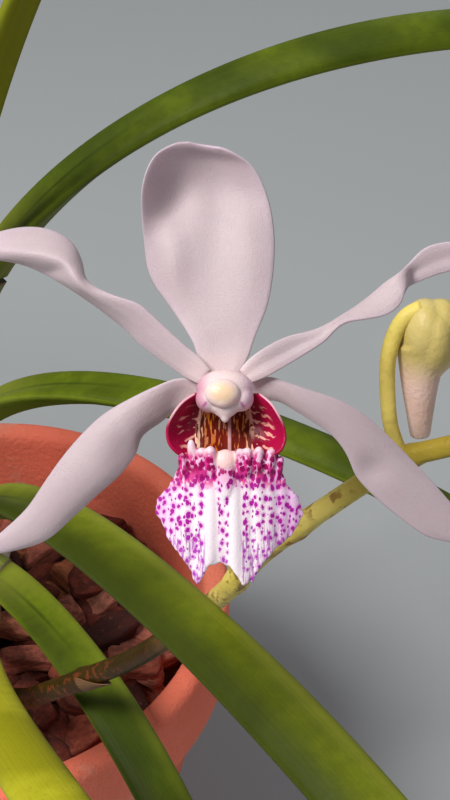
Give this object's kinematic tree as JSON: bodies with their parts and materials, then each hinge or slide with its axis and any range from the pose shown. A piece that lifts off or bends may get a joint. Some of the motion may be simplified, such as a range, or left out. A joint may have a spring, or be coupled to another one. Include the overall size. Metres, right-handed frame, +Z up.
{
  "type": "potted holcostylis orchid",
  "caption": "Terracotta pot of bark with a two-ranked strap-leaved orchid, aerial roots, and an arching spike with an open spotted-lip flower and buds.",
  "frame": {"origin": "middle of the pot's flat base, on the surface it stands on", "axes": "+Z up along the pot; the open flower faces -Y and upwards"},
  "size_m": [0.4272, 0.3473, 0.3245],
  "materials": {
    "clay": "matte",
    "bark": "matte",
    "leaf": "satin",
    "stem": "satin",
    "root": "matte",
    "spike": "satin",
    "sepal": "satin",
    "lip": "satin",
    "cap": "satin",
    "bud": "satin"
  },
  "bodies": {
    "root": {"pot": "clay", "bark": "bark", "stem": "stem", "root_1": "root", "root_2": "root", "root_3": "root", "root_4": "root", "leaf_front_1": "leaf", "leaf_front_2": "leaf", "leaf_front_3": "leaf", "leaf_front_4": "leaf", "leaf_front_5": "leaf", "leaf_front_6": "leaf", "leaf_back_1": "leaf", "leaf_back_2": "leaf", "leaf_back_3": "leaf", "leaf_back_4": "leaf", "leaf_back_5": "leaf", "spike": "spike", "flower_stalk": "spike", "sepal_dorsal": "sepal", "petal_left": "sepal", "petal_right": "sepal", "sepal_left": "sepal", "sepal_right": "sepal", "lip": "lip", "column": "sepal", "anther_cap": "cap", "bud_stalk": "spike", "bud": "bud"}
  },
  "joints": []
}
